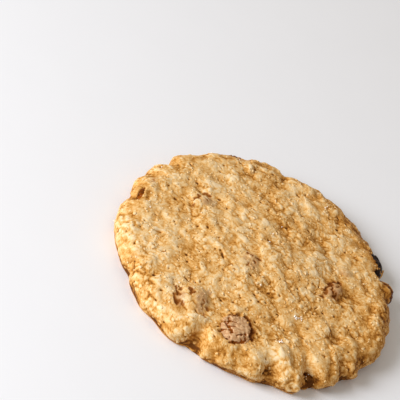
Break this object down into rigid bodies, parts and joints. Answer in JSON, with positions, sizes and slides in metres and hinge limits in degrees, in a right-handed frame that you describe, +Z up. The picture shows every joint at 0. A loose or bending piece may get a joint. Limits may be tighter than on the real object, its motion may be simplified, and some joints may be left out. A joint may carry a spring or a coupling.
{
  "type": "oatmeal raisin cookie",
  "caption": "Round oatmeal raisin cookie with a low craggy domed face, a lumpy rolled rim, a flat underside and wrinkled raisins caught in the dough.",
  "frame": {"origin": "under the middle of the cookie's outline, on the plane of its flat underside", "axes": "+Z up through the cookie, out of its craggy face; the most exposed raisin lies towards -Y and a raisin on the outermost rim towards +X"},
  "size_m": [0.086, 0.0876, 0.0114],
  "materials": {
    "dough": "matt, grainy baked oat dough",
    "raisin": "wrinkled, faintly waxy raisin skin"
  },
  "bodies": {
    "root": {"dough": "dough", "raisin_front": "raisin", "raisin_front_left": "raisin", "raisin_right": "raisin", "raisin_back_left": "raisin", "raisin_middle": "raisin", "raisin_far_right": "raisin", "raisin_left_rim": "raisin", "raisin_back_right_rim": "raisin", "raisin_right_rim": "raisin", "raisin_back_rim": "raisin", "raisin_under_right": "raisin", "raisin_under_left": "raisin"}
  },
  "joints": []
}
